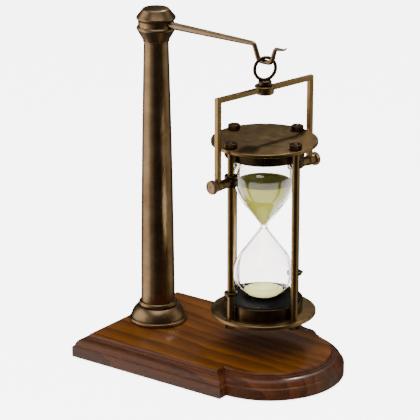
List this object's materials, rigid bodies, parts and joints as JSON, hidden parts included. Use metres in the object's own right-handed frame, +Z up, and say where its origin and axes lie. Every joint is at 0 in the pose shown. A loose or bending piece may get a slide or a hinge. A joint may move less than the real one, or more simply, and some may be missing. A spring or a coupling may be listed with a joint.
{
  "type": "hanging hourglass",
  "caption": "Sand timer in a round metal cage, hung by a swivel and a bail from the hook arm of a turned metal column on a moulded wooden base.",
  "frame": {"origin": "middle of the object's outline on the surface it stands on", "axes": "+Z up; +X along the base from the column towards the hourglass; +Y across the base"},
  "size_m": [0.244, 0.164, 0.335],
  "materials": {
    "stained_wood": "gloss varnish over a red-brown stain, grain along the base",
    "felt": "short pile felt",
    "antique_bronze": "dark antique bronze plating, satin to polished",
    "plated_steel": "plain zinc plated",
    "black_pad": "matte black",
    "clear_glass": "clear blown glass",
    "green_sand": "fine dry yellow-green sand"
  },
  "bodies": {
    "stand": {"base_board": "stained_wood", "base_felt": "felt", "column_foot": "antique_bronze", "column_lower_bead": "antique_bronze", "column_shaft": "antique_bronze", "column_capital": "antique_bronze", "neck_ring": "antique_bronze", "column_cap": "antique_bronze", "column_tie_rod": "plated_steel", "tie_rod_washer": "plated_steel", "tie_rod_nut": "plated_steel", "hook_arm": "antique_bronze"},
    "swivel": {"swivel_eye": "antique_bronze", "swivel_nut": "plated_steel"},
    "bail": {"bail_frame": "antique_bronze"},
    "sliders": {"pivot_slider_left": "antique_bronze", "pivot_slider_right": "antique_bronze", "pivot_spacer_left": "antique_bronze", "pivot_spacer_right": "antique_bronze", "pivot_knob_left": "antique_bronze", "pivot_knob_right": "antique_bronze"},
    "cage": {"top_plate": "antique_bronze", "bottom_plate": "antique_bronze", "top_cup": "antique_bronze", "bottom_cup": "antique_bronze", "top_pad": "black_pad", "bottom_pad": "black_pad", "pivot_rod_left": "antique_bronze", "pivot_rod_right": "antique_bronze", "plain_rod_front": "antique_bronze", "plain_rod_back": "antique_bronze", "top_nuts": "antique_bronze", "bottom_nuts": "antique_bronze", "upper_stop_left": "antique_bronze", "upper_stop_right": "antique_bronze", "lower_stop_left": "antique_bronze", "lower_stop_right": "antique_bronze", "stop_set_screws": "plated_steel", "glass_bulb_upper": "clear_glass", "glass_bulb_lower": "clear_glass", "upper_sand": "green_sand", "lower_sand": "green_sand"}
  },
  "joints": [
    {"name": "eye_swing", "type": "hinge", "parent": "stand", "child": "swivel", "pos_m": [0.044, 0, 0.3034], "axis": [1, 0, 0], "range_deg": [-20, 20]},
    {"name": "bail_turn", "type": "hinge", "parent": "swivel", "child": "bail", "pos_m": [0.044, 0, 0.2774], "axis": [0, 0, 1], "range_deg": [-90, 90]},
    {"name": "cage_tilt", "type": "hinge", "parent": "bail", "child": "sliders", "pos_m": [0.044, 0, 0.1976], "axis": [-0.2079, -0.9781, 0], "range_deg": [-25, 136]},
    {"name": "cage_slide", "type": "slide", "parent": "sliders", "child": "cage", "axis": [0, 0, 1], "range_m": [0, 0.018]}
  ]
}
